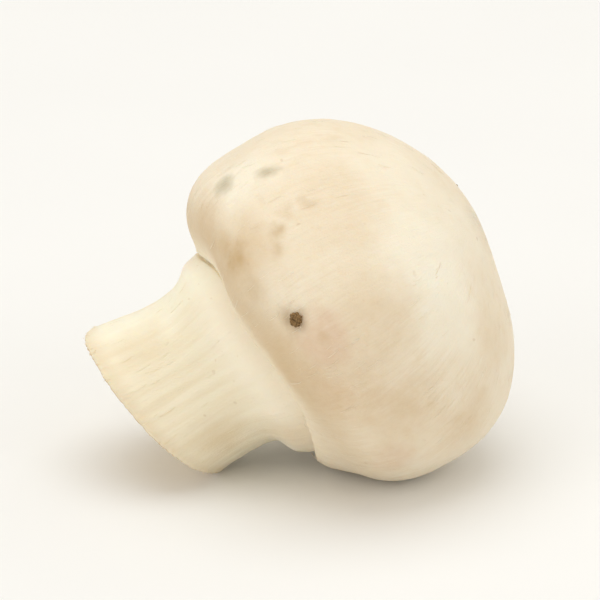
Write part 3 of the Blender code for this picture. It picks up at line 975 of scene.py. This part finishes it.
peat, soil, shader = new_material("peat", roughness=0.85)
grains = soil.noise(object_place(soil), 0.18 * MM, 3.0, 0.6)
tone = blend(soil, soil.between(0.35, 0.65, grains), DARK_PEAT, DRY_PEAT)
soil.feed(shader.inputs["Base Color"], tone)
bumpy(soil, shader, grains, depth=0.05 * MM)
end_tree(crumbs, crumbs.node("GeometryNodeSetMaterial", None, {"Geometry": strewn, "Material": peat}))
crumb_mesh = apply_tree(crumb_carrier, crumbs, crumb_sizes)
bpy.data.objects.remove(crumb_carrier)
crumb_piece = bpy.data.objects.new("peat_crumbs", crumb_mesh)
bpy.context.scene.collection.objects.link(crumb_piece)
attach(crumb_piece, "root")

# The floor is a pale board that sweeps up behind. A large soft lamp above lights it, with weaker ones from
# the right, from behind and from the left, in a warm white room. The board's sizes are in metres.

SWEEP_REACH = 1.6
SWEEP_RISE = 1.1
BEND_STARTS = 0.9
BEND_RADIUS = 0.5
BEND_STEPS = 12
BOARD_SHADE = colour(0.86, 0.87, 0.875)
BOARD_WHITE = colour(0.90, 0.91, 0.915)

sweep_corners = []
for side_x in (-SWEEP_REACH, SWEEP_REACH):
    sweep_corners.append((side_x, -SWEEP_REACH, 0.0))
    for step in range(BEND_STEPS + 1):
        angle = math.radians(90.0) * step / BEND_STEPS
        back = BEND_STARTS + BEND_RADIUS * math.sin(angle)
        sweep_corners.append((side_x, back, BEND_RADIUS - BEND_RADIUS * math.cos(angle)))
    sweep_corners.append((side_x, BEND_STARTS + BEND_RADIUS, SWEEP_RISE))
half = len(sweep_corners) // 2
sweep_faces = [(i, half + i, half + i + 1, i + 1) for i in range(half - 1)]
sweep_mesh = bpy.data.meshes.new("floor")
sweep_mesh.from_pydata(sweep_corners, [], sweep_faces)
sweep_mesh.shade_smooth()
floor = bpy.data.objects.new("floor", sweep_mesh)
bpy.context.scene.collection.objects.link(floor)
white_board, board, shader = new_material("white_board", roughness=0.7)
tone = blend(board, board.noise(object_place(board), 0.05), BOARD_SHADE, BOARD_WHITE)
board.feed(shader.inputs["Base Color"], tone)
sweep_mesh.materials.append(white_board)

# Each lamp's place, width, power and tint, and the place that all of them are aimed at
LAMPS = {
    "key": ((-0.04, 0.02, 0.80), 0.80, 2.66, (0.98, 1.0, 1.0)),
    "right_fill": ((0.55, -0.40, 0.45), 0.60, 0.62, (1.0, 0.99, 0.97)),
    "back_fill": ((0.50, 0.45, 0.35), 0.60, 0.40, (1.0, 0.97, 0.91)),
    "left_fill": ((-0.60, -0.40, 0.30), 0.60, 0.88, (1.0, 0.985, 0.96)),
}
LAMP_AIM = Vector((0.0, 0.0, 0.015))
ROOM_TINT = colour(1.0, 0.94, 0.85)
ROOM_STRENGTH = 0.68

for name, (place, width, power, tint) in LAMPS.items():
    lamp = bpy.data.lights.new(name, "AREA")
    lamp.shape = "DISK"
    lamp.size = width
    lamp.energy = power
    lamp.color = tint
    holder = bpy.data.objects.new(name, lamp)
    bpy.context.scene.collection.objects.link(holder)
    holder.location = place
    holder.rotation_euler = (LAMP_AIM - Vector(place)).to_track_quat("-Z", "Y").to_euler()

room = bpy.data.worlds.new("white_room")
room.use_nodes = True
room.node_tree.nodes["Background"].inputs["Color"].default_value = ROOM_TINT
room.node_tree.nodes["Background"].inputs["Strength"].default_value = ROOM_STRENGTH
bpy.context.scene.world = room
bpy.context.scene.view_settings.view_transform = "Standard"

# The camera looks a little down on the mushroom, from nearly straight in front of it. It stands far enough
# away that the mushroom is drawn with hardly any perspective.

CAMERA_TURN = math.radians(-4.0)
CAMERA_RISE = math.radians(22.0)
CAMERA_AWAY = 0.85
VIEW_WIDTH = 62.5 * MM
VIEW_MIDDLE = Vector((0.50, 6.21, 15.42)) * MM

towards_camera = Vector(
    (
        math.sin(CAMERA_TURN) * math.cos(CAMERA_RISE),
        -math.cos(CAMERA_TURN) * math.cos(CAMERA_RISE),
        math.sin(CAMERA_RISE),
    )
)
eye = bpy.data.cameras.new("camera")
eye.lens = eye.sensor_width * CAMERA_AWAY / VIEW_WIDTH
eye.clip_start = 0.02
camera = bpy.data.objects.new("camera", eye)
bpy.context.scene.collection.objects.link(camera)
camera.location = VIEW_MIDDLE + CAMERA_AWAY * towards_camera
camera.rotation_euler = (-towards_camera).to_track_quat("-Z", "Y").to_euler()
bpy.context.scene.camera = camera
